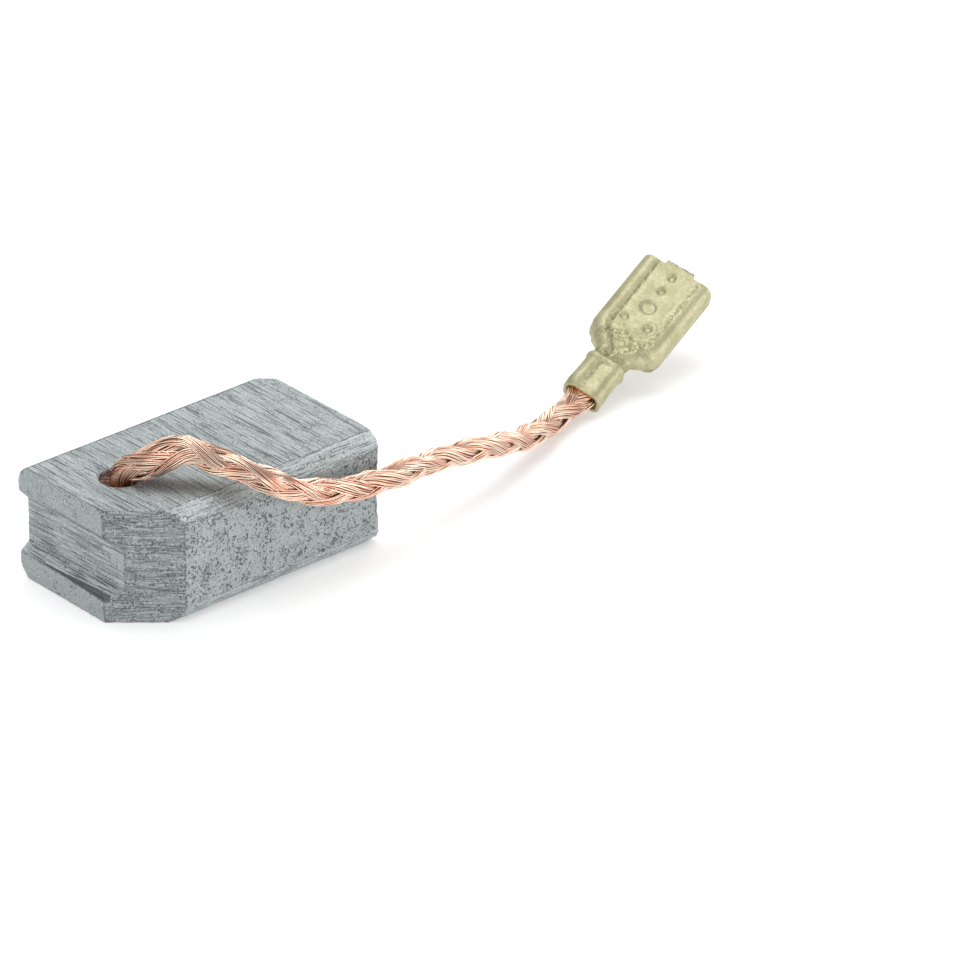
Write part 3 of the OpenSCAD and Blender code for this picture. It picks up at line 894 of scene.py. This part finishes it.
def strip_row(x):
    """Points of the whole section at x, and the grime and painted shade on each."""
    *shape, drop, hollow = station(x)
    half = half_section(*shape)
    edge = shape[0] - shape[1]
    row, grime_shade = [], []
    for k, (y, z) in enumerate([(-y, z) for y, z in reversed(half[1:])] + half):
        away = abs(k - HALF_N + 1)
        on_floor = away <= FLOOR_N
        fade = ease((SIDE_END - away) / (SIDE_N + CORNER_N))
        inner = floor_shape(x, y, edge, hollow) * fade
        if on_floor:
            inner += dimple_rise(x, y)
        row.append((x, y, SHEET / 2 + z + drop * fade + inner))
        grime_shade.append(grime_and_crease_shade(x, y, edge, fade, on_floor))
    return row, grime_shade


SPANS = ((0, 1.8, 18), (1.8, 4.3, 46), (4.3, TERMINAL_LEN, 72))
rows_at = [0.0] + [x for start, end, count in SPANS for x in np.linspace(start, end, count)[1:]]
strip_points, strip_grime_shade = [], []
for x in rows_at:
    row, grime_shade = strip_row(x)
    strip_points += row
    strip_grime_shade += grime_shade
print("strip:", len(rows_at), "rows,", len(strip_points), "points")

# %% Faces of the strip
ROW_N = 2 * HALF_N - 1
STUB_HALF, STUB_STEPS = 14, (0.09, 0.18, 0.25)


def strip_panels():
    """Faces between the rows. From the crimp to the body the strip has no roll."""
    faces = []
    for i, (x, after) in enumerate(zip(rows_at, rows_at[1:])):
        no_roll = CRIMP_LEN < (x + after) / 2 < TERMINAL_LEN - BODY_LEN
        limit = SIDE_END if no_roll else HALF_N - 1
        for j in range(ROW_N - 1):
            if max(abs(j - HALF_N + 1), abs(j - HALF_N + 2)) <= limit:
                a, b = i * ROW_N + j, (i + 1) * ROW_N + j
                faces.append((a, b, b + 1, a + 1))
    return faces


def add_stub(points, faces, grime_shade):
    """The stub, where the strip was cut from its carrier. Its end is torn."""
    middle = len(points) - HALF_N
    before = list(range(middle - STUB_HALF, middle + STUB_HALF + 1))
    ys = [points[k][1] for k in before]
    for extra in STUB_STEPS:
        now = [len(points) + k for k in range(len(ys))]
        for y in ys:
            ragged = 0.035 * noise.noise(Vector((y * 4, extra * 9, 2))) if extra > 0.2 else 0
            points.append((TERMINAL_LEN + extra + ragged, y, SHEET / 2))
            grime_shade.append(0.3)
        faces += [(before[k], now[k], now[k + 1], before[k + 1]) for k in range(len(now) - 1)]
        before = now


panels = strip_panels()
add_stub(strip_points, panels, strip_grime_shade)
print("strip with stub:", len(panels), "faces")

# %% Put the strip in its place
lobe_edge, crimp_floor = 1.4 - 0.49, SHEET * 1.14
core_z = (lobe_edge + crimp_floor) / 2
to_frame = Matrix((crimp_way, crimp_wide, crimp_high)).transposed().to_4x4()
to_frame.translation = Vector(CRIMP_START)
placed = [to_frame @ Vector((x, y, z - core_z)) for x, y, z in strip_points]
receptacle = make_piece("bent_receptacle", placed, panels)
# Grime and painted shade in the creases, for the brass finish to read
mark_points(receptacle.data, "grime_shade", strip_grime_shade)


# %% Give the strip its thickness
def coined(x, y):
    """Share of the sheet's thickness that the tool left near the crimp's open end."""
    return 0.85 + 0.15 * ease(x / 0.4) - 0.3 * ease((abs(y) - 0.5) / 0.2) * ease(1 - x / 0.4)


def run_modifiers(piece):
    """Keep the result of a piece's modifiers as its mesh."""
    graph = bpy.context.evaluated_depsgraph_get()
    done = bpy.data.meshes.new_from_object(piece.evaluated_get(graph))
    piece.modifiers.clear()
    piece.data = done


thickness = receptacle.vertex_groups.new(name="thickness")
for index, (x, y, z) in enumerate(strip_points):
    thickness.add([index], coined(x, y), "REPLACE")
sheet = receptacle.modifiers.new("sheet", "SOLIDIFY")
sheet.thickness = SHEET * MM
sheet.offset = 0
sheet.vertex_group = "thickness"
sheet.use_even_offset = True
sheet.material_offset_rim = 1
edge = receptacle.modifiers.new("edge", "BEVEL")
edge.width = 0.045 * MM
edge.segments = 2
edge.limit_method = "ANGLE"
edge.angle_limit = math.radians(50)
brass, brass_edge, brass_torn = [Finish("brass_" + end, Metallic=0.85) for end in ("sheet", "cut", "torn")]
paint(receptacle, brass, brass_edge, brass_torn)
run_modifiers(receptacle)
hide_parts("receptacle_terminal")
print("receptacle:", len(receptacle.data.polygons), "faces")

# %% Which edges are bright and which are torn
SHEET_FINISH, TORN_FINISH = 0, 2
to_strip = to_frame.inverted()
for face in receptacle.data.polygons:
    x, y, z = to_strip @ (face.center / MM)
    if x > TERMINAL_LEN + 0.2:
        face.material_index = TORN_FINISH
    elif x < 4 and (x > 0.2 or abs(y) > 0.68):
        face.material_index = SHEET_FINISH
print("torn faces:", sum(face.material_index == TORN_FINISH for face in receptacle.data.polygons))

# %% [markdown]
# ## What the shunt is
# The real shunt is limp and runs from the powder to the receptacle. Its exact line and length are
# known here, from the route, and its length is printed.

print("cord:", round(along[-1], 1), "mm long")

# %% [markdown]
# ## Brass
# Stamped brass that has been stored is greenish and half matt, with dark grime and painted shade in its
# grooves. A flat metal colour would look like plastic, so a fine grain, larger tarnished patches and small
# flecks are mixed in. The cut edges show fresh, warmer metal, and the torn stub is rough and brown.

# %% Brass sheet
BRASS, PALE_BRASS = (0.49, 0.466, 0.29, 1), (0.572, 0.543, 0.352, 1)
TARNISH, GRIME_AND_SHADE, FLECK = (0.375, 0.36, 0.207, 1), (0.26, 0.24, 0.13, 1), (0.22, 0.20, 0.12, 1)

grain = brass.noise(6.5, 6.5, 6.5)
colour = brass.blend(brass.ramp(grain, 0.25, 0.72), BRASS, PALE_BRASS)
patches = brass.ramp(brass.noise(1.0, 1.0, 1.0, 4), 0.42, 0.68, 0, 0.6)
colour = brass.blend(patches, colour, TARNISH)
# Grime and painted shade, darkest in the creases, mottled by the grain
grimed_and_shaded = brass.math("MULTIPLY", brass.attribute("grime_shade"), brass.ramp(grain, 0.66, 0.42))
colour = brass.blend(grimed_and_shaded, colour, GRIME_AND_SHADE)
flecks = brass.ramp(brass.noise(9, 9, 9, 2), 0.66, 0.72, 0, 0.8)
brass.feed("Base Color", brass.blend(flecks, colour, FLECK))
brass.feed("Roughness", brass.ramp(grain, 0.3, 0.7, 0.60, 0.52))
brass.bump(grain, 0.014)
print(brass.material.name, "has", len(brass.tree.nodes), "nodes")

# %% Cut and torn brass
FRESH_BRASS, CUT_BRASS = (0.90, 0.58, 0.28, 1), (0.82, 0.66, 0.33, 1)
TORN_DARK, TORN_PALE = (0.16, 0.13, 0.15, 1), (0.50, 0.42, 0.36, 1)


def bare_metal(finish, fineness, low, high, colours, roughness):
    """Two colours of bare metal, in patches of the given fineness."""
    patches = finish.ramp(finish.noise(fineness, fineness, fineness, 2), low, high)
    finish.feed("Base Color", finish.blend(patches, *colours))
    finish.feed("Roughness", roughness)
    print(finish.material.name, "has roughness", roughness)


bare_metal(brass_edge, 3, 0.35, 0.6, (FRESH_BRASS, CUT_BRASS), 0.42)
bare_metal(brass_torn, 8, 0.4, 0.6, (TORN_DARK, TORN_PALE), 0.55)

# %% [markdown]
# ## Table
# The table is a pale matt sheet. Its colour alone would render as light grey, and more light would wash
# the brush out, so it also glows faintly, but only where the camera looks or where metal mirrors it:
# the glow lights nothing, and the shadow under the block stays.

# %% Table
TABLE_HALF = 3
TABLE_WHITE = (0.80, 0.80, 0.80, 1)
GLOW = 0.30
corners = [(x * TABLE_HALF, y * TABLE_HALF, 0) for x, y in ((-1, -1), (1, -1), (1, 1), (-1, 1))]
table = bpy.data.objects.new("table", bpy.data.meshes.new("table"))
table.data.from_pydata(corners, [], [(0, 1, 2, 3)])
bpy.context.collection.objects.link(table)
matt = Finish("pale_table", Base_Color=TABLE_WHITE, Roughness=0.9, Emission_Color=(1, 1, 1, 1))
matt.material.cycles.emission_sampling = "NONE"
seen, mirrored, through = [matt.node("LightPath", output=ray)
                           for ray in ("Is Camera Ray", "Is Glossy Ray", "Is Transmission Ray")]
glowing = matt.math("MAXIMUM", matt.math("MAXIMUM", seen, mirrored), through)
matt.feed("Emission Strength", matt.math("MULTIPLY", glowing, GLOW))
paint(table, matt)

# %% [markdown]
# ## Light
# A studio has soft light from all round and a larger soft source above. One bright sky would do for
# the carbon, but copper and brass need something to mirror, so four soft boxes stand round the brush
# and the sky is only a gentle fall from its bright side to its dark side.

# %% Sky
BRIGHT_SIDE = Vector((0.40, 0.50, 0.75)).normalized()
SKY_FALL = {"From Min": -0.4, "From Max": 0.9, "To Min": 0.30, "To Max": 0.62}

world = bpy.data.worlds.new("studio")
world.use_nodes = True
bpy.context.scene.world = world
tree = world.node_tree
sky = tree.nodes["Background"]
sky.inputs["Color"].default_value = (1, 1, 1, 1)
place = tree.nodes.new("ShaderNodeTexCoord")
facing = tree.nodes.new("ShaderNodeVectorMath")
facing.operation = "DOT_PRODUCT"
facing.inputs[1].default_value = BRIGHT_SIDE
fall = tree.nodes.new("ShaderNodeMapRange")
fall.interpolation_type = "SMOOTHSTEP"
for socket, value in SKY_FALL.items():
    fall.inputs[socket].default_value = value
tree.links.new(place.outputs["Generated"], facing.inputs[0])
tree.links.new(facing.outputs["Value"], fall.inputs["Value"])
tree.links.new(fall.outputs["Result"], sky.inputs["Strength"])
print("sky from", SKY_FALL["To Min"], "to", SKY_FALL["To Max"])

# %% Soft boxes
AWAY = 0.8
# Name, direction from the brush, width, height, level
BOXES = (("overhead", (0.05, 0.10, 0.97), 0.6, 0.6, 0.47),
         ("front_fill", (0.45, -0.88, 0.16), 1.3, 0.25, 0.50),
         ("left_fill", (-0.88, -0.25, 0.4), 0.6, 0.6, 0.32),
         ("back_rim", (0.83, 0.50, 0.26), 0.45, 0.45, 0.32))


def soft_box(name, way, width, height, level):
    """A lamp that faces the brush. A surface turned to it gets `level` of plain daylight white."""
    lamp = bpy.data.objects.new(name, bpy.data.lights.new(name, "AREA"))
    place = Vector(way).normalized() * AWAY
    lamp.data.shape = "RECTANGLE"
    lamp.data.size, lamp.data.size_y = width, height
    lamp.data.energy = level * math.pi**2 * AWAY**2
    lamp.location = place
    lamp.rotation_euler = (-place).to_track_quat("-Z", "Y").to_euler()
    bpy.context.collection.objects.link(lamp)
    print(name, round(lamp.data.energy, 2), "W")


for box in BOXES:
    soft_box(*box)
bpy.context.scene.view_settings.view_transform = "Standard"
